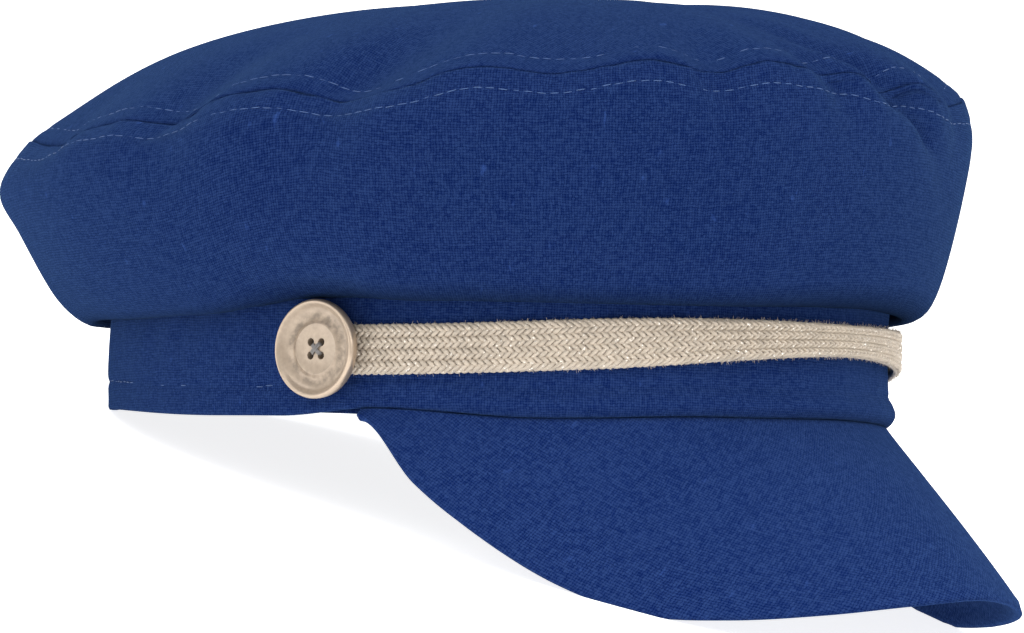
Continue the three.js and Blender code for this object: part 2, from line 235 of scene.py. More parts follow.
class StageSettings(bpy.types.PropertyGroup):
    """Camera, floor and light."""

    azimuth: FloatProperty(
        name="Azimuth", description="Turn of the camera round the cap, in degrees", default=35
    )
    elevation: FloatProperty(
        name="Elevation", description="Camera over the headband's plane, in degrees", default=-2
    )
    roll: FloatProperty(name="Roll", description="Roll of the camera, in degrees", default=1.5)
    distance: length_setting("Distance", "Distance of the camera", 2.2)
    lens: FloatProperty(name="Lens", description="Focal length in millimetres", default=310.66)
    floor: colour_setting("Floor", "Colour of the floor", (0.8, 0.8, 0.8))
    floor_glow: FloatProperty(
        name="Floor glow",
        description="Light that comes out of the floor, as from a light table",
        default=0.85,
    )


# Outer face of the crown's side at turns from front to back, the same on both sides. Out counts
# from the headband in shares of the overhang, and up counts from the headband's lower rim in
# shares of the crown's height. Dome says how square the top is above its seam.
CrownSection = namedtuple(
    "CrownSection",
    "turn roll_out roll_up low_out low_up wall_out wall_up bulge_out bulge_up "
    "seam_out seam_up dome",
)
CROWN_SECTIONS = (
    CrownSection(0, 0.11, 0.27, 0.37, 0.32, 0.54, 0.46, 0.69, 0.69, 0.61, 0.805, 3.6),
    CrownSection(36, 0.11, 0.257, 0.37, 0.29, 0.56, 0.45, 0.71, 0.69, 0.62, 0.807, 3.6),
    CrownSection(68, 0.11, 0.252, 0.4, 0.3, 0.65, 0.45, 0.8, 0.67, 0.67, 0.79, 3.3),
    CrownSection(86, 0.1, 0.257, 0.4, 0.31, 0.69, 0.44, 0.86, 0.65, 0.7, 0.76, 3.1),
    CrownSection(104, 0.12, 0.218, 0.43, 0.28, 0.73, 0.43, 0.92, 0.62, 0.73, 0.722, 3.25),
    CrownSection(144, 0.14, 0.213, 0.48, 0.27, 0.84, 0.43, 1.02, 0.54, 0.77, 0.665, 3.4),
    CrownSection(180, 0.14, 0.21, 0.48, 0.265, 0.84, 0.43, 1.02, 0.53, 0.78, 0.65, 3.4),
)

# Lower rim of the soft headband, once round from the back. Up is a share of its height.
WaveRow = namedtuple("WaveRow", "turn up")
RIM_ROWS = (
    WaveRow(-180, 0.08),
    WaveRow(-145, 0.01),
    WaveRow(-105, -0.055),
    WaveRow(-93, -0.055),
    WaveRow(-77, 0.015),
    WaveRow(-55, -0.04),
    WaveRow(-25, 0.01),
    WaveRow(0, 0.03),
    WaveRow(40, 0),
    WaveRow(75, -0.03),
    WaveRow(105, 0),
    WaveRow(145, 0.09),
    WaveRow(180, 0.08),
)

# How far the top seam waves up and down, once round from the back, in shares of the crown's height
SEAM_ROWS = (
    WaveRow(-180, -0.01),
    WaveRow(-152, -0.008),
    WaveRow(-124, -0.042),
    WaveRow(-104, -0.023),
    WaveRow(-88, -0.01),
    WaveRow(-72, -0.04),
    WaveRow(-61, 0.005),
    WaveRow(-53, -0.009),
    WaveRow(-40, 0.022),
    WaveRow(-32, 0.008),
    WaveRow(-24, 0.028),
    WaveRow(-13, 0.021),
    WaveRow(-6, -0.002),
    WaveRow(1, 0.014),
    WaveRow(12, -0.02),
    WaveRow(24, -0.018),
    WaveRow(35, 0.01),
    WaveRow(45, -0.005),
    WaveRow(54, 0.015),
    WaveRow(64, -0.01),
    WaveRow(73, 0.01),
    WaveRow(84, -0.025),
    WaveRow(96, -0.01),
    WaveRow(120, -0.04),
    WaveRow(148, -0.015),
    WaveRow(180, -0.01),
)

# Gathers where the crown's top is eased onto its side. Depth is a share of a full gather, negative
# for a ridge. Width is in degrees of turn. Fall and rise say how far the gather runs down the side
# and over the top, in shares of the crown's height, and lean is how far it turns over that height.
Gather = namedtuple("Gather", "turn depth width fall rise lean")
GATHERS = (
    Gather(-2, 1, 4.5, 0.14, 0.25, -60),
    Gather(-16, 0.6, 4, 0.12, 0.25, -30),
    Gather(-32, 0.55, 4.5, 0.12, 0.18, 0),
    Gather(-51, 0.3, 7, 0.12, 0.15, 0),
    Gather(-79, 1.1, 5.5, 0.2, 0.2, 15),
    Gather(-104, 1, 6, 0.16, 0.25, 0),
    Gather(-130, 0.4, 6, 0.15, 0.2, 0),
    Gather(-158, 0.5, 6, 0.15, 0.2, 0),
    Gather(178, 0.4, 6, 0.15, 0.2, 0),
    Gather(156, 0.6, 6, 0.15, 0.2, 10),
    Gather(131, 0.35, 6, 0.15, 0.18, 0),
    Gather(107, 0.8, 6, 0.16, 0.22, 0),
    Gather(83, 0.5, 6, 0.2, 0.18, -10),
    Gather(60, 0.6, 5, 0.14, 0.2, 0),
    Gather(41, 0.35, 6, 0.12, 0.15, 0),
    Gather(18, 0.6, 5, 0.15, 0.22, 20),
)

# Single creases and soft ridges of the crown, from one end to the other. Down counts from the
# top seam, in millimetres, and is negative on the top panel. A ridge has a depth under zero.
Crease = namedtuple("Crease", "turn down end_turn end_down depth width")
CREASES = (
    Crease(-10.5, -8, -2.5, 5, 1.3, 1.7),
    Crease(-2.5, 5, 6, 14, 1.7, 1.9),
    Crease(-14, -7, -7, 5, -0.7, 2.6),
    Crease(-21, -9, -16.5, 7, -0.8, 2.4),
    Crease(-18.5, -5, -13, 6, 0.5, 1.8),
    Crease(9, 2, 12, 10, 0.6, 1.6),
    Crease(-34, 2, -31, 9, 0.45, 1.8),
    Crease(-47, -5, -44, 2, 0.4, 1.6),
    Crease(-62, 1, -60, 8, 0.4, 1.8),
    Crease(-104, 0, -107, 9, 0.6, 2),
    Crease(-128, -3, -124, 6, 0.5, 1.8),
    Crease(-93, 50, -80, 53, 0.9, 5),
    Crease(-70, 30, -52, 26, 0.5, 7),
    Crease(-40, 36, -22, 30, 0.5, 7),
    Crease(30, 2, 27, 11, 0.8, 2),
    Crease(52, -5, 49, 6, 0.6, 2),
    Crease(88, 0, 91, 10, 0.7, 2.2),
    Crease(133, -3, 130, 8, 0.6, 2),
    Crease(171, 0, 174, 10, 0.6, 2),
)

# Rim of the peak from its middle to its corner, the same on both sides. Turn is a share of the
# corner's turn, out a share of the reach and down a share of the drop.
PeakSection = namedtuple("PeakSection", "turn out down")
PEAK_SECTIONS = (
    PeakSection(0, 1, 0.86),
    PeakSection(0.125, 0.945, 0.9),
    PeakSection(0.25, 0.81, 0.96),
    PeakSection(0.375, 0.63, 1),
    PeakSection(0.5, 0.445, 0.99),
    PeakSection(0.625, 0.315, 0.855),
    PeakSection(0.75, 0.23, 0.635),
    PeakSection(0.875, 0.15, 0.36),
    PeakSection(1, 0.03, 0.02),
)

# Turned face of a button, from the step round its holes to the middle of its back. Radius is a
# share of its half diameter and height a share of its thickness.
ButtonRow = namedtuple("ButtonRow", "radius height")
BUTTON_PROFILE = (
    ButtonRow(0.49, 0.6),
    ButtonRow(0.505, 0.63),
    ButtonRow(0.53, 0.59),
    ButtonRow(0.57, 0.5),
    ButtonRow(0.62, 0.43),
    ButtonRow(0.7, 0.42),
    ButtonRow(0.78, 0.49),
    ButtonRow(0.84, 0.64),
    ButtonRow(0.885, 0.84),
    ButtonRow(0.92, 0.97),
    ButtonRow(0.95, 1),
    ButtonRow(0.98, 0.92),
    ButtonRow(1, 0.68),
    ButtonRow(0.985, 0.3),
    ButtonRow(0.94, 0.08),
    ButtonRow(0.86, 0),
)


def share(value, low, high):
    """Smooth share from 0 at low to 1 at high."""
    place = min(max((value - low) / (high - low), 0), 1)
    return place * place * (3 - 2 * place)


def between(low, high, place):
    """Value or point at a share of the way from low to high."""
    return low + (high - low) * place


def smooth_step(a, b, c, d, place):
    """Value or point between b and c, on a smooth curve that also passes a and d."""
    bend = (b - c) * 3 + d - a
    return b + (c - a + (a * 2 - b * 5 + c * 4 - d + bend * place) * place) * (0.5 * place)


def column(table, name, turn):
    """Value of one column of a table at a turn, on a smooth curve mirrored past both ends."""
    last = len(table) - 1
    i = 0
    while i < last - 1 and turn > table[i + 1].turn:
        i += 1
    place = min(max((turn - table[i].turn) / (table[i + 1].turn - table[i].turn), 0), 1)
    rows = (abs(i - 1), i, i + 1, last - abs(last - i - 2))
    return smooth_step(*(getattr(table[row], name) for row in rows), place)


def smooth_line(points, steps):
    """Points on a smooth curve through the given ones, with some steps between each two."""
    last = len(points) - 1
    line = []
    for i in range(last):
        ends = (points[max(i - 1, 0)], points[i], points[i + 1], points[min(i + 2, last)])
        line += [smooth_step(*ends, step / steps) for step in range(steps)]
    return line + [points[last].copy()]


class Line:
    """A line through many points, measured along its length."""

    def __init__(self, points):
        self.points = points
        self.marks = [0.0]
        for first, second in zip(points, points[1:]):
            self.marks.append(self.marks[-1] + (second - first).length)
        self.length = self.marks[-1]

    def at(self, distance):
        """Point and direction at a distance from the line's start."""
        i = min(max(bisect_right(self.marks, distance) - 1, 0), len(self.points) - 2)
        span = self.marks[i + 1] - self.marks[i]
        place = (distance - self.marks[i]) / span if span else 0
        point = between(self.points[i], self.points[i + 1], place)
        before = self.points[max(i - 1, 0)]
        after = self.points[min(i + 2, len(self.points) - 1)]
        return point, (after - before).normalized()


def outward(turn):
    """Direction straight out from the headband at a turn."""
    angle = math.radians(turn)
    return Vector(
        (math.cos(angle) / BAND_HALF_LENGTH, math.sin(angle) / BAND_HALF_WIDTH, 0)
    ).normalized()


def around(turn, out, up):
    """Point out from the headband's outer face at a turn and up from its lower rim."""
    angle = math.radians(turn)
    foot = Vector((BAND_HALF_LENGTH * math.cos(angle), BAND_HALF_WIDTH * math.sin(angle), up))
    return foot + outward(turn) * out


def ripple(turn, up, across, along, seed):
    """Soft uneven waves round the cap, from -1 to 1, with a number of waves once round."""
    angle = math.radians(turn)
    size = across / math.tau
    return noise.noise(
        Vector((math.cos(angle) * size + seed, math.sin(angle) * size - seed, up / along))
    )


def wave(rows, turn):
    """Height of a soft wave at a turn, from the rows of its crests and dips."""
    i = next(n for n, row in enumerate(rows) if n > 0 and turn <= row.turn + 1e-6)
    low, high = rows[i - 1], rows[i]
    return between(low.up, high.up, share(turn, low.turn, high.turn))


@lru_cache(maxsize=None)
def rim_up(turn):
    """Height of the headband's lower rim at a turn, over the plane that it roughly lies in."""
    return BAND_HEIGHT * wave(RIM_ROWS, turn)


def gather_at(size, turn, over):
    """How deep the gathers press in at a turn, for a height over the top seam."""
    depth = 0
    for gather in GATHERS:
        reach = (gather.fall if over < 0 else gather.rise) * CROWN_TOP
        centre = gather.turn + gather.lean * over / CROWN_TOP
        away = (turn - centre + 180) % 360 - 180
        depth += gather.depth * math.exp(-((away / gather.width) ** 2) - (over / reach) ** 2)
    return size.gather_depth * depth


def crease_at(size, turn, down):
    """How deep the single creases press in at a turn, at a distance down from the top seam."""
    reach = BAND_HALF_WIDTH + size.overhang / 2
    here = Vector((math.radians(turn) * reach, down))
    depth = 0
    for crease in CREASES:
        start = Vector((math.radians(crease.turn) * reach, crease.down * MM))
        end = Vector((math.radians(crease.end_turn) * reach, crease.end_down * MM))
        way = end - start
        place = min(max((here - start).dot(way) / way.length_squared, 0), 1)
        away = (here - start - way * place).length / (crease.width * MM)
        if away < 3:
            depth += crease.depth * MM * math.exp(-away * away)
    return depth


def pucker_at(size, turn, distance, seed):
    """How deep the small puckers press in at a turn, at a distance from the top seam."""
    fine = ripple(turn, distance, 130, 14 * MM, seed)
    broad = ripple(turn, distance, 60, 30 * MM, seed + 5)
    near = math.exp(-((distance / (9 * MM)) ** 2))
    wide = math.exp(-((distance / (20 * MM)) ** 2))
    return size.pucker_depth * (fine * near + broad * wide)


def stitched(distance, row, depth, width):
    """How deep a row of stitches presses the cloth in."""
    return depth * math.exp(-(((distance - row) / width) ** 2))


def seam_roll(size, turn, distance, row):
    """How deep the cloth lies near the top seam: it rolls in, here and there more, and dips at
    the stitches."""
    open_here = 0.05 + 0.95 * share(ripple(turn, 0, 30, 30 * MM, 52), -0.15, 0.3)
    roll = size.seam_depth * open_here * math.exp(-((distance / (0.9 * MM)) ** 2))
    return roll + stitched(distance, row, 0.18 * MM, 0.8 * MM)


# Direction into the cloth at the top seam, as out and up
SEAM_INWARD = Vector((-0.8, -0.6))
# How far from the seam the cloth still bends towards it, and how far inside it the cloth goes on
SEAM_BEND = 7 * MM
SEAM_TUCK = 3 * MM
# The soft waves of slack cloth: their length, and how far from the seam they are at full height
SLACK_WAVE = 45 * MM
SLACK_START = 25 * MM
# The rows of the crown's grids lie closer together near the seam
ROW_CROWDING = 1.5


def turn_at(u):
    """Turn at a share of the way once round from the back."""
    return 360 * (u % 1) - 180


def from_seam(length, v):
    """Distance from the top seam at a share of a crown grid, negative for the tucked-in cloth."""
    return (length + SEAM_TUCK) * v**ROW_CROWDING - SEAM_TUCK


@lru_cache(maxsize=None)
def side_line(turn, overhang):
    """Outer face of the crown's side at a turn, from the top seam down, as out and up."""
    points = [
        Vector(
            (
                column(CROWN_SECTIONS, f"{name}_out", abs(turn)) * overhang,
                column(CROWN_SECTIONS, f"{name}_up", abs(turn)) * CROWN_TOP,
            )
        )
        for name in ("seam", "bulge", "wall", "low", "roll")
    ]
    points[0].y += CROWN_TOP * wave(SEAM_ROWS, turn)
    points.append(Vector((SEAM_GAP + BAND_WALL / 3, BAND_HEIGHT + SEAM_GAP / 2)))
    points.append(Vector((-BAND_WALL / 2, BAND_HEIGHT + SEAM_GAP)))
    return Line(smooth_line(points, 24))


def side_point(size, row, turn, down):
    """Point of the crown's side at a distance down from its top seam, negative inside the seam."""
    line = side_line(turn, size.overhang)
    point, along = line.at(max(down, 0))
    seam = line.points[0]
    inward = Vector((along.y, -along.x))
    edge = 1 - share(down, 0, SEAM_BEND)
    inward = between(inward, SEAM_INWARD, edge).normalized()
    calm = share(line.length - down, 4 * MM, 20 * MM)
    press = gather_at(size, turn, point.y - seam.y)
    press += pucker_at(size, turn, down, 3) * calm
    press += crease_at(size, turn, max(down, 0)) * share(line.length - down, 0, 6 * MM)
    press += seam_roll(size, turn, max(down, 0), row)
    slack = ripple(turn, point.y, 17, SLACK_WAVE, 8) * share(down, 0, SLACK_START)
    press += size.slack * calm * slack
    point = point + inward * (press + max(-down, 0))
    return around(turn, point.x, point.y)


@lru_cache(maxsize=None)
def top_line(turn, overhang, forward):
    """Outer face of the crown's top at a turn, from its seam to the middle, as inwards and up."""
    seam = side_line(turn, overhang).points[0]
    dome = column(CROWN_SECTIONS, "dome", abs(turn))
    edge = around(turn, seam.x, seam.y)
    towards = Vector((forward - edge.x, -edge.y, 0))
    rise = CROWN_TOP - edge.z
    steps = 140
    places = [(i / steps) ** ROW_CROWDING for i in range(steps + 1)]
    points = [
        Vector((towards.length * place, rise * (1 - (1 - place) ** dome))) for place in places
    ]
    return edge, towards.normalized(), Line(points)


def top_point(size, row, turn, over):
    """Point of the crown's top at a distance over it from its seam, negative inside the seam."""
    edge, towards, line = top_line(turn, size.overhang, size.top_forward)
    flat, along = line.at(max(over, 0))
    point = edge + towards * flat.x + Vector((0, 0, flat.y))
    inward = towards * along.y
    inward.z = -along.x
    seam_inward = outward(turn) * SEAM_INWARD.x
    seam_inward.z = SEAM_INWARD.y
    inward = between(inward, seam_inward, 1 - share(over, 0, SEAM_BEND)).normalized()
    calm = share(line.length - over, 0, 45 * MM)
    press = gather_at(size, turn, flat.length)
    press += pucker_at(size, turn, over, 14) * calm
    press += crease_at(size, turn, -max(over, 0))
    press += seam_roll(size, turn, max(over, 0), row)
    slack = ripple(turn, over, 13, SLACK_WAVE, 21) * share(over, 0, SLACK_START)
    press += size.slack * calm * slack
    return point + inward * (press + max(-over, 0))


@lru_cache(maxsize=None)
def band_line(turn):
    """Closed outline of the headband's cloth at a turn, as out and up."""
    size = bpy.context.scene.cap_band
    peak_end = bpy.context.scene.cap_peak.end
    swell = size.swell * (1 - share(abs(turn), 0.7 * peak_end, peak_end))
    rim = rim_up(turn)
    outline = (
        (-0.6 * BAND_WALL, 1),
        (0, 1),
        (0, 0.75),
        (0, 0.31),
        (0.4 * swell, 0.2),
        (swell, 0.09),
        (0.35 * swell, 0.012),
        (-0.35 * BAND_WALL, 0),
        (-0.7 * BAND_WALL, 0),
        (-BAND_WALL, 0.03),
        (-BAND_WALL, 0.3),
        (-BAND_WALL, 0.7),
        (-BAND_WALL, 1),
        (-0.6 * BAND_WALL, 1),
    )
    points = [Vector((out, between(rim, BAND_HEIGHT, up))) for out, up in outline]
    return Line(smooth_line(points, 8))


def band_point(size, turn, place):
    """Point of the headband at a turn, at a share of the way round its section."""
    line = band_line(turn)
    point, along = line.at(line.length * place)
    face = share(point.x, -0.8 * BAND_WALL, 0) * share(BAND_HEIGHT - point.y, 0, 6 * MM)
    over = point.y - rim_up(turn)
    press = stitched(over, size.hem, 0.4 * MM, 0.8 * MM)
    press += 0.5 * MM * ripple(turn, point.y, 60, 22 * MM, 31) * share(over, 0, 6 * MM)
    press += 0.3 * MM * ripple(turn, point.y, 150, 12 * MM, 37) * share(over, 0, 5 * MM)
    return around(turn, point.x - face * press, point.y)


@lru_cache(maxsize=None)
def peak_line(turn):
    """Closed outline of the peak's cloth at a turn: down its face, round the rim and back up."""
    size = bpy.context.scene.cap_peak
    place = abs(turn) / size.end
    root = Vector((0, rim_up(turn) - SEAM_GAP))
    rim = Vector(
        (
            column(PEAK_SECTIONS, "out", place) * size.reach,
            -column(PEAK_SECTIONS, "down", place) * size.drop,
        )
    )
    fall = rim - root
    along = fall.normalized()
    inward = Vector((along.y, -along.x))
    swell = size.swell * fall.length / size.drop
    steps = 8
    rim_share = 0.02
    outer = []
    inner = []
    for i in range(steps + 1):
        step = 1 - (1 - i / steps) ** 1.5
        bow = 4 * swell * step * (1 - step)
        point = root + fall * step * (1 - rim_share) - inward * bow
        outer.append(point)
        inner.insert(0, point + inward * size.wall if i else point - Vector((size.wall, 0)))
    tip = rim + inward * size.wall / 2 + along * size.wall / 4
    return Line(smooth_line([*outer, tip, *inner, outer[0].copy()], 8))


def peak_point(size, turn, place):
    """Point of the peak at a turn, at a share of the way round its section."""
    line = peak_line(turn)
    if abs(turn) > size.end - 1e-6:
        middle = sum(line.points, Vector((0, 0))) / len(line.points)
        return around(turn, middle.x, middle.y)
    point, along = line.at(line.length * place)
    inward = Vector((along.y, -along.x))
    half = line.length / 2
    edge = abs(line.length * place - half)
    rim_row = 4 * MM
    press = stitched(edge, rim_row, 0.25 * MM, 0.7 * MM)
    slack = ripple(turn, point.y, 14, SLACK_WAVE, 43) * share(edge, rim_row, SLACK_START)
    press += 0.5 * MM * slack
    point = point + inward * press * share(line.length * place, 0, 5 * MM)
    return around(turn, point.x, point.y)


def add_grid(shape, columns, rows, place, cloth):
    """Adds a flat grid to a shape and carries its points to place(u, v), both from 0 to 1.

    Cloth tells where each point lies in the flat cloth, in metres.
    """
    made = bmesh.ops.create_grid(shape, x_segments=columns, y_segments=rows, size=0.5)
    flat = shape.loops.layers.uv["cloth"]
    places = {}
    for vert in made["verts"]:
        u = round((vert.co.x + 0.5) * columns) / columns
        v = round((vert.co.y + 0.5) * rows) / rows
        places[vert] = (u, v)
    for face in {face for vert in made["verts"] for face in vert.link_faces}:
        for loop in face.loops:
            loop[flat].uv = cloth(*places[loop.vert])
    for vert, (u, v) in places.items():
        vert.co = place(u, v)


def new_shape():
    """An empty mesh with a map of where its faces lie in the flat cloth."""
    shape = bmesh.new()
    shape.loops.layers.uv.new("cloth")
    return shape


def join_edges(shape):
    """Closes the seam where a bent sheet meets itself."""
    bmesh.ops.remove_doubles(shape, verts=shape.verts, dist=0.001 * MM)


def grid_shape(columns, rows, place, cloth):
    """A shape made of one grid, closed where it meets itself."""
    shape = new_shape()
    add_grid(shape, columns, rows, place, cloth)
    join_edges(shape)
    return shape


def face_out(shape):
    """Turns the faces of closed shapes outwards."""
    bmesh.ops.recalc_face_normals(shape, faces=shape.faces)


def face_away(shape, middle):
    """Turns the faces of an open sheet away from a point inside it."""
    bmesh.ops.recalc_face_normals(shape, faces=shape.faces)
    facing = sum((face.calc_center_median() - middle).dot(face.normal) for face in shape.faces)
    if facing < 0:
        bmesh.ops.reverse_faces(shape, faces=shape.faces)


def finish_piece(name, shape, material, replaced=()):
    """Makes a piece of a shape in the cap's own frame and sets it down on the floor."""
    shape.transform(CAP)
    for vert in shape.verts:
        vert.co.z = max(vert.co.z, 0)
    mesh = bpy.data.meshes.new(name)
    shape.to_mesh(mesh)
    shape.free()
    mesh.shade_smooth()
    mesh.materials.append(material)
    piece = bpy.data.objects.new(name, mesh)
    bpy.context.scene.collection.objects.link(piece)
    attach(piece, "root")
    if replaced:
        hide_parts(*replaced)
    return piece


def give_wall(piece, thickness):
    """Gives an open sheet its thickness, on its inner side."""
    wall = piece.modifiers.new("cloth", "SOLIDIFY")
    wall.thickness = thickness
    wall.offset = -1


def evenly(path, start, end, pitch):
    """Turns at which points on a path are one pitch apart."""
    count = 3000
    turns = [between(start, end, i / count) for i in range(count + 1)]
    line = Line([path(turn) for turn in turns])
    stitches = max(round(line.length / pitch), 1)
    marks = [line.length * i / stitches for i in range(stitches)]
    return [turns[bisect_right(line.marks, mark) - 1] for mark in marks]


def add_stitches(shape, size, surface, row, start, end, seed):
    """Adds one row of stitches along a surface. Surface gives a point at a turn and a distance."""
    chance = random.Random(seed)
    turns = evenly(lambda turn: surface(turn, row), start, end, size.pitch)
    step = (turns[1] - turns[0]) * size.length / size.pitch
    for turn in turns:
        wander = row + chance.uniform(-0.15, 0.15) * MM
        first = surface(turn, wander)
        second = surface(min(turn + step, end), wander + chance.uniform(-0.12, 0.12) * MM)
        across = surface(turn, wander + 0.5 * MM) - surface(turn, wander - 0.5 * MM)
        along = (second - first).normalized()
        facing = along.cross(across).normalized()
        middle = (first + second) / 2
        if facing.dot(middle - Vector((0, 0, 40 * MM))) < 0:
            facing = -facing
        side = facing.cross(along)
        turned = Matrix((side, facing, along)).transposed().to_4x4()
        sized = Matrix.Diagonal(
            (size.thickness / 2, size.thickness * 0.45, (second - first).length / 2, 1)
        )
        lifted = Matrix.Translation(middle + facing * size.thickness * chance.uniform(-0.25, 0.35))
        bmesh.ops.create_uvsphere(
            shape, u_segments=7, v_segments=5, radius=1, matrix=lifted @ turned @ sized
        )


def add_node(material, kind, inputs=None, **values):
    """Adds a shader node. Inputs are values or sockets by name or number."""
    made = material.node_tree.nodes.new(kind)
    for name, value in values.items():
        setattr(made, name, value)
    for key, value in (inputs or {}).items():
        socket = made.inputs[key]
        if isinstance(value, bpy.types.NodeSocket):
            material.node_tree.links.new(value, socket)
        else:
            socket.default_value = value
    return made


def calculate(material, operation, first, second=0.0, third=0.0):
    """Adds one sum and gives its result."""
    inputs = {0: first, 1: second, 2: third}
    return add_node(material, "ShaderNodeMath", inputs, operation=operation).outputs[0]


def mix_colours(material, amount, first, second):
    """Mixes two colours by an amount and gives the result."""
    inputs = {0: amount, 6: first, 7: second}
    return add_node(material, "ShaderNodeMix", inputs, data_type="RGBA").outputs[2]


def times(material, first, second):
    """The product of two values."""
    return calculate(material, "MULTIPLY", first, second)


def add_share(material, value, part, rest):
    """A part of a value, added to the rest."""
    return calculate(material, "MULTIPLY_ADD", value, part, rest)


def rough_up(material, shader, height, strength, distance):
    """Gives a surface fine relief of a height, with a strength from 0 to 1 and a depth."""
    inputs = {"Height": height, "Strength": strength, "Distance": distance}
    bump = add_node(material, "ShaderNodeBump", inputs)
    join(material, bump.outputs[0], shader.inputs["Normal"])


def cloth_map(material):
    """Where a point lies in the flat cloth, in metres."""
    return add_node(material, "ShaderNodeUVMap", uv_map="cloth").outputs[0]


def object_place(material):
    """Where a point lies in the object."""
    return add_node(material, "ShaderNodeTexCoord").outputs["Object"]


def spread(material, value, low, high):
    """Stretches the values between low and high to the whole way from 0 to 1."""
    inputs = {"Value": value, "From Min": low, "From Max": high}
    return add_node(material, "ShaderNodeMapRange", inputs).outputs[0]


def spots(material, vector, scale, detail=2.0, squeeze=(1, 1, 1)):
    """Uneven spots from 0 to 1, squeezed into streaks along one direction if asked."""
    placed = add_node(material, "ShaderNodeMapping", {"Vector": vector, "Scale": squeeze})
    inputs = {"Vector": placed.outputs[0], "Scale": scale, "Detail": detail}
    return add_node(material, "ShaderNodeTexNoise", inputs).outputs["Fac"]


def shade(colour, amount):
    """A colour made lighter or darker."""
    return (*[min(part * amount, 1) for part in colour], 1)


def new_material(name):
    """An empty material and its main shader."""
    material = bpy.data.materials.new(name)
    material.use_nodes = True
    return material, material.node_tree.nodes["Principled BSDF"]


def join(material, value, socket):
    """Joins a result to a socket of the main shader."""
    material.node_tree.links.new(value, socket)


# Painted light: how much lighter the headband and the peak are made than the crown, from the same
# linen, to come near the photo under this scene's light, for the fuller light that falls on them
BAND_PAINTED_LIGHT = 1.16
PEAK_PAINTED_LIGHT = 1.28
# How far the linen's threads drift from their straight course, in threads
THREAD_DRIFT = 1.6
LINEN_SHEEN = 0.075
LINEN_SHEEN_TINT = (0.33, 0.66, 1, 1)
# Light that the crown's side loses at its turned-in lower edge, where the photo has a shadow, and
# the distances from its end between which it comes back
EDGE_SHADE = 0.78
EDGE_SHADE_START = 5.5 * MM
EDGE_SHADE_END = 17 * MM


def uneven_threads(material, flat, slant):
    """Thread counts along both ways of the cloth, straight and with the threads' drift."""
    scale = 1 / bpy.context.scene.cap_finish.weave
    inputs = {
        "Vector": flat,
        "Scale": (scale, scale, 1),
        "Rotation": (0, 0, math.radians(slant)),
    }
    threads = add_node(material, "ShaderNodeMapping", inputs).outputs[0]
    inputs = {"Vector": threads, "Scale": 0.16, "Detail": 3.0}
    drift = add_node(material, "ShaderNodeTexNoise", inputs).outputs["Color"]
    inputs = {0: drift, 1: (0.5, 0.5, 0.5)}
    drift = add_node(material, "ShaderNodeVectorMath", inputs, operation="SUBTRACT").outputs[0]
    inputs = {0: drift, 1: (THREAD_DRIFT, THREAD_DRIFT, 0), 2: threads}
    uneven = add_node(material, "ShaderNodeVectorMath", inputs, operation="MULTIPLY_ADD")
    return threads, uneven.outputs[0]


def crossing_threads(material, uneven):
    """Height of a plain weave, where each thread goes over the next one and then under."""
    across = add_node(material, "ShaderNodeSeparateXYZ", {0: uneven})
    warp, weft = (
        calculate(material, "SINE", times(material, across.outputs[way], math.pi)) for way in (0, 1)
    )
    over = times(material, warp, weft)
    warp_over = add_share(material, over, 0.5, 0.5)
    weft_over = add_share(material, over, -0.5, 0.5)
    warp_top = times(material, calculate(material, "ABSOLUTE", warp), warp_over)
    weft_top = times(material, calculate(material, "ABSOLUTE", weft), weft_over)
    return spread(material, calculate(material, "MAXIMUM", warp_top, weft_top), 0.0, 0.62)


def thread_streaks(material, uneven):
    """Threads that are darker or lighter for a stretch, along both ways of the cloth."""
    warp_streak = spots(material, uneven, 1.0, 3.0, (1.1, 0.16, 1))
    weft_streak = spots(material, uneven, 1.0, 3.0, (0.16, 1.1, 1))
    return spread(material, calculate(material, "ADD", warp_streak, weft_streak), 0.72, 1.28)


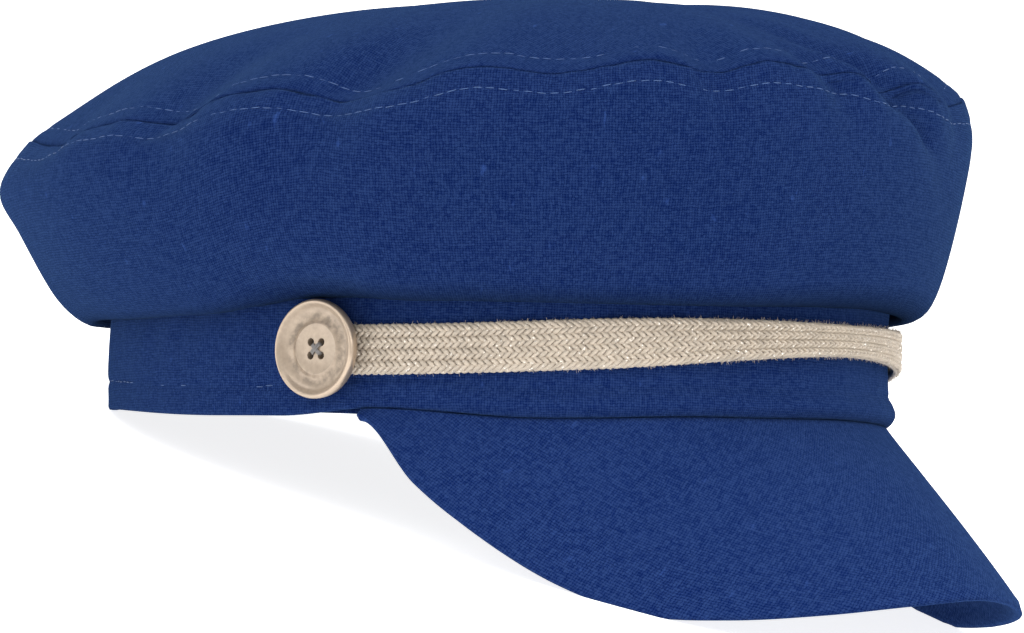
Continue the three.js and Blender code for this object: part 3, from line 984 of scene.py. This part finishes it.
def linen(name, slant=0.0, painted_light=1.0, edge_shade=0.0):
    """Plain woven linen with uneven threads. Slant turns its weave, in degrees.

    Edge_shade is the share of its light that the cloth loses where it turns in below. Its lightness
    makes all its colours lighter: painted light, for a piece that more light falls on.
    """
    finish = bpy.context.scene.cap_finish
    material, shader = new_material(name)
    flat = cloth_map(material)
    threads, uneven = uneven_threads(material, flat, slant)
    weave = crossing_threads(material, uneven)
    streak = thread_streaks(material, uneven)
    fuzz = spots(material, threads, 1.1, 4.0)
    mottle = spots(material, flat, 28.0, 3.0)
    fleck = spread(material, spots(material, threads, 0.22, 2.0, (1, 0.5, 1)), 0.69, 0.78)
    cells = add_node(material, "ShaderNodeVectorMath", {0: uneven}, operation="FLOOR").outputs[0]
    chance = add_node(material, "ShaderNodeTexWhiteNoise", {"Vector": cells}).outputs["Value"]

    light = times(material, weave, 0.65)
    light = add_share(material, streak, 0.3, light)
    light = add_share(material, chance, 0.4, light)
    light = add_share(material, fuzz, 0.5, light)
    light = add_share(material, mottle, 0.15, light)
    light = spread(material, light, 0.75, 1.5)
    # painted light: both colours made lighter on the headband and the peak, for the fuller light on
    # them
    deep = shade(finish.linen_deep, painted_light)
    pale = shade(finish.linen_pale, painted_light)
    colour = mix_colours(material, light, deep, pale)
    slub = times(material, fleck, 0.4)
    colour = mix_colours(material, slub, colour, shade(finish.linen_pale, 2.4))
    above = add_node(material, "ShaderNodeSeparateXYZ", {0: flat}).outputs[1]
    lit = spread(material, above, EDGE_SHADE_START, EDGE_SHADE_END)
    lit = add_share(material, lit, edge_shade, 1 - edge_shade)
    colour = mix_colours(material, lit, (0, 0, 0, 1), colour)
    join(material, colour, shader.inputs["Base Color"])

    relief = add_share(material, streak, 0.45, weave)
    relief = add_share(material, chance, 0.3, relief)
    relief = add_share(material, fuzz, 0.35, relief)
    rough_up(material, shader, relief, 0.8, 0.16 * MM)
    shader.inputs["Roughness"].default_value = 0.9
    shader.inputs["Specular IOR Level"].default_value = 0
    join(material, times(material, lit, LINEN_SHEEN), shader.inputs["Sheen Weight"])
    shader.inputs["Sheen Roughness"].default_value = 0.5
    shader.inputs["Sheen Tint"].default_value = LINEN_SHEEN_TINT
    return material


def sewing_thread(name, colour):
    """Twisted sewing thread."""
    material, shader = new_material(name)
    place = object_place(material)
    speckle = spots(material, place, 900.0, 2.0)
    mixed = mix_colours(material, speckle, shade(colour, 0.7), shade(colour, 1.3))
    join(material, mixed, shader.inputs["Base Color"])
    rough_up(material, shader, speckle, 0.5, 0.08 * MM)
    shader.inputs["Roughness"].default_value = 0.7
    shader.inputs["Sheen Weight"].default_value = 0.05
    return material


def braid_yarn():
    """Soft beige yarn with a few bright metal threads."""
    finish = bpy.context.scene.cap_finish
    material, shader = new_material("braid_yarn")
    flat = cloth_map(material)
    place = object_place(material)
    fibres = spots(material, flat, 1.0, 3.0, (900, 5200, 1))
    patch = spots(material, place, 320.0, 2.0)
    glint = spread(material, spots(material, place, 1500.0, 1.0), 0.66, 0.72)
    light = add_share(material, fibres, 0.7, times(material, patch, 0.5))
    light = spread(material, light, 0.25, 0.95)
    colour = mix_colours(material, light, shade(finish.braid, 0.6), shade(finish.braid, 1.3))
    colour = mix_colours(material, glint, colour, (0.95, 0.9, 0.82, 1))
    join(material, colour, shader.inputs["Base Color"])
    join(material, times(material, glint, 0.8), shader.inputs["Metallic"])
    rough = add_share(material, glint, -0.45, 0.72)
    join(material, rough, shader.inputs["Roughness"])
    rough_up(material, shader, fibres, 0.9, 0.22 * MM)
    shader.inputs["Sheen Weight"].default_value = 0.25
    return material


def button_pearl():
    """Aged pearly beige, darker with patina in its trough, and lighter on its rim, partly worn by
    rubbing and partly a painted highlight.
    """
    finish = bpy.context.scene.cap_finish
    half = bpy.context.scene.cap_button.diameter / 2
    material, shader = new_material("button_pearl")
    flat = cloth_map(material)
    place = object_place(material)
    radius = add_node(
        material, "ShaderNodeVectorMath", {0: flat}, operation="LENGTH"
    ).outputs["Value"]
    blotch = spots(material, place, 520.0, 5.0)
    grain = spots(material, place, 1400.0, 3.0)
    wavy = add_share(material, blotch, 0.1 * half, radius)
    trough = times(
        material,
        spread(material, wavy, 0.55 * half, 0.62 * half),
        spread(material, wavy, 0.86 * half, 0.76 * half),
    )
    patina = times(material, trough, spread(material, blotch, 0.35, 0.6))
    dark = add_share(material, patina, 0.4, times(material, blotch, 0.5))
    dark = add_share(material, grain, 0.3, dark)
    dark = spread(material, dark, 0.3, 1.15)
    colour = mix_colours(material, dark, shade(finish.button, 1.2), shade(finish.button, 0.42))
    # the rim is made lighter: partly wear from rubbing, partly a painted highlight
    rim_wear_and_highlight = spread(material, radius, 0.9 * half, 0.97 * half)
    bright = times(material, rim_wear_and_highlight, 0.6)
    colour = mix_colours(material, bright, colour, shade(finish.button, 1.75))
    join(material, colour, shader.inputs["Base Color"])
    rough = add_share(material, dark, 0.35, 0.28)
    join(material, rough, shader.inputs["Roughness"])
    rough_up(material, shader, grain, 0.35, 0.05 * MM)
    metal = add_share(material, rim_wear_and_highlight, 0.4, 0.3)
    join(material, metal, shader.inputs["Metallic"])
    return material


class CAP_OT_crown_top(bpy.types.Operator):
    """Model the round top panel of the crown"""

    bl_idname = "cap.crown_top"
    bl_label = "Crown top"

    def execute(self, context):
        size = context.scene.cap_crown
        row = context.scene.cap_stitch.seam_distance

        def place(u, v):
            turn = turn_at(u)
            line = top_line(turn, size.overhang, size.top_forward)[2]
            return top_point(size, row, turn, from_seam(line.length, v))

        def cloth(u, v):
            towards, line = top_line(turn_at(u), size.overhang, size.top_forward)[1:]
            left = line.length - from_seam(line.length, v)
            return (-towards.x * left, -towards.y * left)

        shape = grid_shape(430, 56, place, cloth)
        face_away(shape, Vector((0, 0, BAND_HEIGHT)))
        material = linen("crown_top_linen", 8)
        piece = finish_piece("crown_top_cloth", shape, material, ["crown_top"])
        give_wall(piece, size.wall)
        return {"FINISHED"}


class CAP_OT_crown_side(bpy.types.Operator):
    """Model the side of the crown"""

    bl_idname = "cap.crown_side"
    bl_label = "Crown side"

    def execute(self, context):
        size = context.scene.cap_crown
        row = context.scene.cap_stitch.seam_distance
        round_length = 660 * MM

        def place(u, v):
            turn = turn_at(u)
            line = side_line(turn, size.overhang)
            return side_point(size, row, turn, from_seam(line.length, v))

        def cloth(u, v):
            line = side_line(turn_at(u), size.overhang)
            return (round_length * u, line.length * (1 - v**ROW_CROWDING))

        shape = grid_shape(430, 56, place, cloth)
        face_away(shape, Vector((0, 0, CROWN_TOP / 2)))
        material = linen("crown_side_linen", edge_shade=EDGE_SHADE)
        piece = finish_piece("crown_side_cloth", shape, material, ["crown_side"])
        give_wall(piece, size.wall)
        return {"FINISHED"}


class CAP_OT_headband(bpy.types.Operator):
    """Model the headband with its hem"""

    bl_idname = "cap.headband"
    bl_label = "Headband"

    def execute(self, context):
        size = context.scene.cap_band
        round_length = 588 * MM

        def place(u, v):
            return band_point(size, turn_at(u), v % 1)

        def cloth(u, v):
            return (round_length * u, -band_line(turn_at(u)).length * v)

        shape = grid_shape(420, 76, place, cloth)
        face_out(shape)
        # the headband's linen is made lighter, as painted light
        material = linen("headband_linen", 0, BAND_PAINTED_LIGHT)
        finish_piece("headband_cloth", shape, material, ["headband"])
        return {"FINISHED"}


class CAP_OT_peak(bpy.types.Operator):
    """Model the curved peak"""

    bl_idname = "cap.peak"
    bl_label = "Peak"

    def execute(self, context):
        size = context.scene.cap_peak
        round_length = 250 * MM

        def place(u, v):
            return peak_point(size, between(-size.end, size.end, u), v % 1)

        def cloth(u, v):
            return (round_length * u, -peak_line(between(-size.end, size.end, u)).length * v)

        shape = grid_shape(260, 90, place, cloth)
        face_out(shape)
        # the peak's linen is made lighter, as painted light
        material = linen("peak_linen", 34, PEAK_PAINTED_LIGHT)
        finish_piece("peak_cloth", shape, material, ["peak"])
        return {"FINISHED"}


# Strands of the braid: how wide and thick one is, how far it rises and dips where strands cross,
# and how sharply it turns back at the braid's edges, up to 1
STRAND_WIDTH = 1.2 * MM
STRAND_THICKNESS = 1.2 * MM
PLAIT_HEIGHT = 0.4 * MM
STRAND_BEND = 0.985
# How deep the strands lie under the braid's middle, and how far they rise and fall by chance
STRAND_SUNK = 0.45 * MM
UNEVEN_STRAND = 0.16 * MM
# Height of the braid's ribs in front and where it goes flat at the side, and how much lower
# they are further back
RIB_HEIGHT = 0.9 * MM
FLAT_RIB_HEIGHT = 0.2 * MM
BACK_RIB_LOSS = 0.35 * MM


class BraidCourse:
    """The way of the braid round the cap, from the right button to the left one."""

    def __init__(self, scene):
        self.size = scene.cap_braid
        self.end = scene.cap_button.turn
        self.button_height = scene.cap_button.height
        steps = 1200
        self.turns = [between(-self.end, self.end, i / steps) for i in range(steps + 1)]
        self.line = Line([self.middle(turn) for turn in self.turns])

    def stand_off(self, turn):
        """Distance of the braid's back from the headband."""
        return SEAM_GAP + self.size.stand_off * (1 - share(abs(turn), 15, 45))

    def height(self, turn):
        """Height of the braid's middle over the headband's lower rim."""
        front = 1 - share(abs(turn), 0, self.end)
        return between(self.button_height, self.size.front_height, front)

    def width(self, turn):
        """Distance between the middles of the outermost strands."""
        side = share(abs(turn), 0, 48)
        return between(self.size.front_width, self.size.side_width, side) - STRAND_WIDTH

    def out(self, turn, level):
        """Distance from the headband at a share of the braid's thickness."""
        return self.stand_off(turn) + self.size.thickness * level

    def middle(self, turn):
        """Middle of the braid at a turn."""
        return around(turn, self.out(turn, 0.5), self.height(turn))

    def turn(self, distance):
        """Turn at a distance from the braid's start."""
        marks = self.line.marks
        i = min(max(bisect_right(marks, distance) - 1, 0), len(self.turns) - 2)
        inside = (distance - marks[i]) / (marks[i + 1] - marks[i])
        return between(self.turns[i], self.turns[i + 1], inside)

    def relief(self, turn, lane, heading):
        """How far a strand stands up where it crosses a lane: on a rib, and over or under."""
        flat = share(abs(turn), 26, 36) * (1 - share(abs(turn), 56, 66))
        height = between(RIB_HEIGHT, FLAT_RIB_HEIGHT, flat)
        height -= BACK_RIB_LOSS * share(abs(turn), 50, 70)
        rib = max(height, FLAT_RIB_HEIGHT) * abs(math.sin(math.pi * lane / 2)) ** 0.9
        return rib + PLAIT_HEIGHT * math.sin(math.pi * lane) * heading

    def strand(self, number, distance):
        """Middle of a strand, the direction out from it and the width that it can take up."""
        turn = self.turn(distance)
        width = self.width(turn)
        strands = self.size.strands
        period = self.size.pitch * strands
        phase = math.tau * (distance / period + number / strands)
        across = math.asin(STRAND_BEND * -math.cos(phase)) / math.asin(STRAND_BEND)
        heading = 1 if math.sin(phase) > 0 else -1
        lane = (across + 1) / 2 * ((strands - 1) // 2)
        uneven = UNEVEN_STRAND * noise.noise(Vector((distance * 700, number * 3.1, 0)))
        out = self.out(turn, 0.5) - STRAND_SUNK + self.relief(turn, lane, heading) + uneven
        point = around(turn, out, self.height(turn) + across * width / 2)
        return point, outward(turn), 2 * width * self.size.pitch / math.hypot(2 * width, period)


def add_fibres(shape, course):
    """Adds loose fibres that stand off both edges of the braid, most of them in front."""
    size = course.size
    chance = random.Random(size.seed)
    for _ in range(size.fibres):
        turn = chance.uniform(-course.end, course.end)
        edge = chance.choice((-1, 1))
        if chance.random() < 0.6 * share(abs(turn), 20, 45):
            continue
        out = course.out(turn, chance.uniform(0.2, 0.8))
        root = around(turn, out, course.height(turn) + edge * course.width(turn) / 2)
        along = (course.middle(turn + 1) - course.middle(turn)).normalized()
        heading = Vector((0, 0, edge)) + along * chance.uniform(-1.2, 1.2)
        heading += outward(turn) * chance.uniform(-0.2, 0.6)
        heading.normalize()
        reach = size.fibre_length * chance.uniform(0.4, 1)
        turned = heading.to_track_quat("Z", "Y").to_matrix().to_4x4()
        bmesh.ops.create_cone(
            shape,
            cap_ends=True,
            cap_tris=True,
            segments=3,
            radius1=size.fibre_thickness / 2,
            radius2=size.fibre_thickness / 6,
            depth=reach,
            matrix=Matrix.Translation(root + heading * reach * 0.45) @ turned,
        )


def add_strand(shape, course, number):
    """Adds one strand of the braid, a flat tube that goes to and fro between its edges."""
    length = course.line.length
    ends = 0.3 * MM
    step = 0.2 * MM
    girth = 3.4 * MM

    def place(u, v):
        distance = between(ends, length - ends, u)
        point, facing, apart = course.strand(number, distance)
        ahead = course.strand(number, distance + step)[0]
        behind = course.strand(number, distance - step)[0]
        side = facing.cross(ahead - behind).normalized()
        angle = math.tau * (v % 1)
        uneven = 1 + 0.2 * noise.noise(Vector((distance * 900, number * 5.3, 9)))
        half = 0.52 * apart * uneven
        lifted = facing * math.sin(angle) * STRAND_THICKNESS / 2
        return point + side * math.cos(angle) * half + lifted

    add_grid(shape, 660, 6, place, lambda u, v: (length * u, girth * v))


class CAP_OT_braid(bpy.types.Operator):
    """Model the flat braid, strand by strand"""

    bl_idname = "cap.braid"
    bl_label = "Braid"

    def execute(self, context):
        course = BraidCourse(context.scene)
        shape = new_shape()
        add_fibres(shape, course)
        for number in range(course.size.strands):
            add_strand(shape, course, number)
        join_edges(shape)
        face_out(shape)
        finish_piece("braid_strands", shape, braid_yarn(), ["braid"])
        return {"FINISHED"}


def button_matrix(side):
    """Place of a button on the braid's end, on the right side for -1 and the left side for 1."""
    size = bpy.context.scene.cap_button
    turn = side * size.turn
    out = 2 * SEAM_GAP + bpy.context.scene.cap_braid.thickness
    up = Vector((0, 0, 1))
    facing = Matrix.Rotation(math.radians(side * size.lean), 3, "Z") @ outward(turn)
    turned = Matrix((up.cross(facing), up, facing)).transposed().to_4x4()
    return Matrix.Translation(around(turn, out, size.height)) @ turned


def circle_edges(shape, radius, centre, segments):
    """Adds a circle of edges to a shape."""
    made = bmesh.ops.create_circle(
        shape, segments=segments, radius=radius, matrix=Matrix.Translation(centre)
    )
    return list({edge for vert in made["verts"] for edge in vert.link_edges})


def button_shape(size):
    """A button lying on its back: a turned rim, two flat faces and four holes through them."""
    shape = new_shape()
    half = size.diameter / 2
    rows = [Vector((row.radius * half, 0, row.height * size.thickness)) for row in BUTTON_PROFILE]
    verts = [shape.verts.new(point) for point in smooth_line(rows, 3)]
    edges = [shape.edges.new(pair) for pair in zip(verts, verts[1:])]
    bmesh.ops.spin(
        shape,
        geom=verts + edges,
        cent=(0, 0, 0),
        axis=(0, 0, 1),
        angle=math.tau,
        steps=72,
        use_merge=True,
    )
    front = rows[0].z
    rims = {front: [], 0.0: []}
    for edge in shape.edges:
        if edge.is_boundary:
            low = abs(edge.verts[0].co.z) < 0.01 * MM
            rims[0.0 if low else front].append(edge)
    holes = []
    for x in (-0.5, 0.5):
        for y in (-0.5, 0.5):
            pair = []
            for level, rim in rims.items():
                centre = (x * size.spacing, y * size.spacing, level)
                circle = circle_edges(shape, size.hole / 2, centre, 14)
                rim += circle
                pair += circle
            holes.append(pair)
    for rim in rims.values():
        bmesh.ops.triangle_fill(shape, use_beauty=True, edges=rim)
    for pair in holes:
        bmesh.ops.bridge_loops(shape, edges=pair)
    join_edges(shape)
    face_out(shape)
    flat = shape.loops.layers.uv["cloth"]
    for face in shape.faces:
        for loop in face.loops:
            loop[flat].uv = loop.vert.co.xy
    return shape


class CAP_OT_buttons(bpy.types.Operator):
    """Model the two buttons"""

    bl_idname = "cap.buttons"
    bl_label = "Buttons"

    def execute(self, context):
        size = context.scene.cap_button
        pearl = button_pearl()
        for name, side in (("right", -1), ("left", 1)):
            shape = button_shape(size)
            shape.transform(button_matrix(side))
            piece = finish_piece(f"{name}_button", shape, pearl, [f"button_{name}"])
            piece.data.set_sharp_from_angle(angle=math.radians(40))
        return {"FINISHED"}


def add_button_thread(shape, size, crossing, lane):
    """Adds one of the threads that cross a button from hole to hole.

    Crossing is -1 or 1 for its diagonal, and lane -1, 0 or 1 for its place beside two others.
    """
    level = BUTTON_PROFILE[0].height * size.thickness
    reach = size.spacing * 0.71 - size.hole * 0.28
    half = 0.22 * MM
    lane_width = 0.34 * MM
    bow = 1.1 * MM
    end_sunk = 0.75 * MM
    upper_lift = 0.2 * MM

    def place(u, v):
        angle = math.pi * u
        along = -math.cos(angle) * reach
        lift = max(math.sin(angle), 0) ** 0.5 * bow - end_sunk
        lift += upper_lift * (crossing > 0)
        ring = math.tau * (v % 1)
        sideways = lane * lane_width + math.cos(ring) * half
        x = (along - sideways * crossing) * math.sqrt(0.5)
        y = (along * crossing + sideways) * math.sqrt(0.5)
        return Vector((x, y, level + lift + math.sin(ring) * half))

    add_grid(shape, 14, 6, place, lambda u, v: (u, v))


class CAP_OT_button_threads(bpy.types.Operator):
    """Sew the buttons on with crossed threads"""

    bl_idname = "cap.button_threads"
    bl_label = "Button threads"

    def execute(self, context):
        size = context.scene.cap_button
        grey = sewing_thread("button_thread", (0.17, 0.16, 0.155))
        for name, side in (("right_button_threads", -1), ("left_button_threads", 1)):
            shape = new_shape()
            for crossing in (-1, 1):
                for lane in (-1, 0, 1):
                    add_button_thread(shape, size, crossing, lane)
            join_edges(shape)
            face_out(shape)
            shape.transform(button_matrix(side))
            finish_piece(name, shape, grey)
        return {"FINISHED"}


class CAP_OT_stitches(bpy.types.Operator):
    """Sew the rows of stitches"""

    bl_idname = "cap.stitches"
    bl_label = "Stitches"

    def execute(self, context):
        scene = context.scene
        size = scene.cap_stitch
        crown = scene.cap_crown
        row = size.seam_distance
        blue = sewing_thread("blue_thread", scene.cap_finish.thread)
        hem = scene.cap_band.hem
        hem_sunk = 0.48 * MM
        hem_start = scene.cap_peak.end + 3

        def on_top(turn, distance):
            return top_point(crown, row, turn, distance)

        def on_side(turn, distance):
            return side_point(crown, row, turn, distance)

        def on_hem(turn, over):
            around_back = turn if turn <= 180 else turn - 360
            return around(around_back, -hem_sunk, rim_up(around_back) + over)

        rows = (
            ("crown_top_stitches", on_top, row, -180, 180),
            ("crown_side_stitches", on_side, row, -180, 180),
            ("headband_stitches", on_hem, hem, hem_start, 360 - hem_start),
        )
        for seed, (name, surface, distance, start, end) in enumerate(rows, 1):
            shape = new_shape()
            add_stitches(shape, size, surface, distance, start, end, seed)
            finish_piece(name, shape, blue)
        return {"FINISHED"}


# Large soft lights: where each hangs, how wide it is and its power
StudioLight = namedtuple("StudioLight", "name place width power")
LIGHTS = (
    StudioLight("left_light", (-1.4, -1.7, 2.1), 2.2, 24),
    StudioLight("right_light", (1.9, 0.0, 2.0), 2.2, 24),
    StudioLight("top_light", (0.3, -0.5, 2.6), 2.6, 40),
)
LIGHT_AIM = Vector((0, 0, 0.06))
SKY_LIGHT = 0.85
# Where the photo's middle lies beside and above the cap's own middle
PICTURE_RIGHT = 4.3 * MM
PICTURE_UP = 25.8 * MM


class CAP_OT_stage(bpy.types.Operator):
    """Set up the camera, the floor and the light"""

    bl_idname = "cap.stage"
    bl_label = "Stage"

    def execute(self, context):
        size = context.scene.cap_stage
        self.add_camera(context, size)
        self.add_floor(size)
        for each in LIGHTS:
            self.add_light(*each)
        world = bpy.data.worlds.new("studio")
        world.use_nodes = True
        back = world.node_tree.nodes["Background"]
        back.inputs[0].default_value = (1, 1, 1, 1)
        back.inputs[1].default_value = SKY_LIGHT
        context.scene.world = world
        context.scene.view_settings.view_transform = "Standard"
        return {"FINISHED"}

    def add_camera(self, context, size):
        """Looks at the cap from the photograph's side."""
        turn, tip, roll = (math.radians(a) for a in (size.azimuth, size.elevation, size.roll))
        away = Vector(
            (math.sin(turn) * math.cos(tip), -math.cos(turn) * math.cos(tip), math.sin(tip))
        )
        right = Vector((math.cos(turn), math.sin(turn), 0))
        turned = Matrix.Rotation(roll, 3, away)
        right = turned @ right
        up = away.cross(right)
        aim = right * PICTURE_RIGHT + up * PICTURE_UP
        placed = Matrix((right, up, away)).transposed().to_4x4()
        placed.translation = aim + away * size.distance
        lens = bpy.data.cameras.new("photo_camera")
        lens.lens = size.lens
        lens.sensor_width = 36
        lens.clip_end = 100
        camera = bpy.data.objects.new("photo_camera", lens)
        camera.matrix_world = CAP @ placed
        context.scene.collection.objects.link(camera)
        context.scene.camera = camera

    def add_floor(self, size):
        """A wide plain floor."""
        shape = bmesh.new()
        bmesh.ops.create_grid(shape, x_segments=4, y_segments=4, size=30)
        mesh = bpy.data.meshes.new("floor")
        shape.to_mesh(mesh)
        shape.free()
        material, shader = new_material("floor")
        shader.inputs["Base Color"].default_value = (*size.floor, 1)
        shader.inputs["Roughness"].default_value = 0.9
        shader.inputs["Specular IOR Level"].default_value = 0.1
        shader.inputs["Emission Color"].default_value = (1, 1, 1, 1)
        shader.inputs["Emission Strength"].default_value = size.floor_glow
        mesh.materials.append(material)
        floor = bpy.data.objects.new("floor", mesh)
        bpy.context.scene.collection.objects.link(floor)

    def add_light(self, name, place, width, power):
        """A large soft light that looks at the cap."""
        lamp = bpy.data.lights.new(name, "AREA")
        lamp.size = width
        lamp.energy = power
        light = bpy.data.objects.new(name, lamp)
        light.location = place
        aim = LIGHT_AIM - light.location
        light.rotation_mode = "QUATERNION"
        light.rotation_quaternion = aim.to_track_quat("-Z", "Y")
        bpy.context.scene.collection.objects.link(light)


OPERATORS = (
    CAP_OT_stage,
    CAP_OT_crown_top,
    CAP_OT_crown_side,
    CAP_OT_headband,
    CAP_OT_peak,
    CAP_OT_braid,
    CAP_OT_buttons,
    CAP_OT_button_threads,
    CAP_OT_stitches,
)

SETTINGS = {
    "cap_crown": CrownSettings,
    "cap_band": BandSettings,
    "cap_peak": PeakSettings,
    "cap_braid": BraidSettings,
    "cap_button": ButtonSettings,
    "cap_stitch": StitchSettings,
    "cap_finish": FinishSettings,
    "cap_stage": StageSettings,
}


class CAP_PT_pieces(bpy.types.Panel):
    """Lists the cap's pieces"""

    bl_idname = "CAP_PT_pieces"
    bl_label = "Breton cap"
    bl_space_type = "VIEW_3D"
    bl_region_type = "UI"
    bl_category = "Cap"

    def draw(self, context):
        for operator in OPERATORS:
            self.layout.operator(operator.bl_idname)


CLASSES = (*SETTINGS.values(), *OPERATORS, CAP_PT_pieces)


def register():
    for each in CLASSES:
        bpy.utils.register_class(each)
    for name, settings in SETTINGS.items():
        setattr(bpy.types.Scene, name, PointerProperty(type=settings))


def unregister():
    for name in SETTINGS:
        delattr(bpy.types.Scene, name)
    for each in reversed(CLASSES):
        bpy.utils.unregister_class(each)


def main():
    """Makes the stage and all the pieces."""
    register()
    bpy.ops.cap.stage()
    bpy.ops.cap.crown_top()
    bpy.ops.cap.crown_side()
    bpy.ops.cap.headband()
    bpy.ops.cap.peak()
    bpy.ops.cap.braid()
    bpy.ops.cap.buttons()
    bpy.ops.cap.button_threads()
    bpy.ops.cap.stitches()


if __name__ == "__main__":
    main()
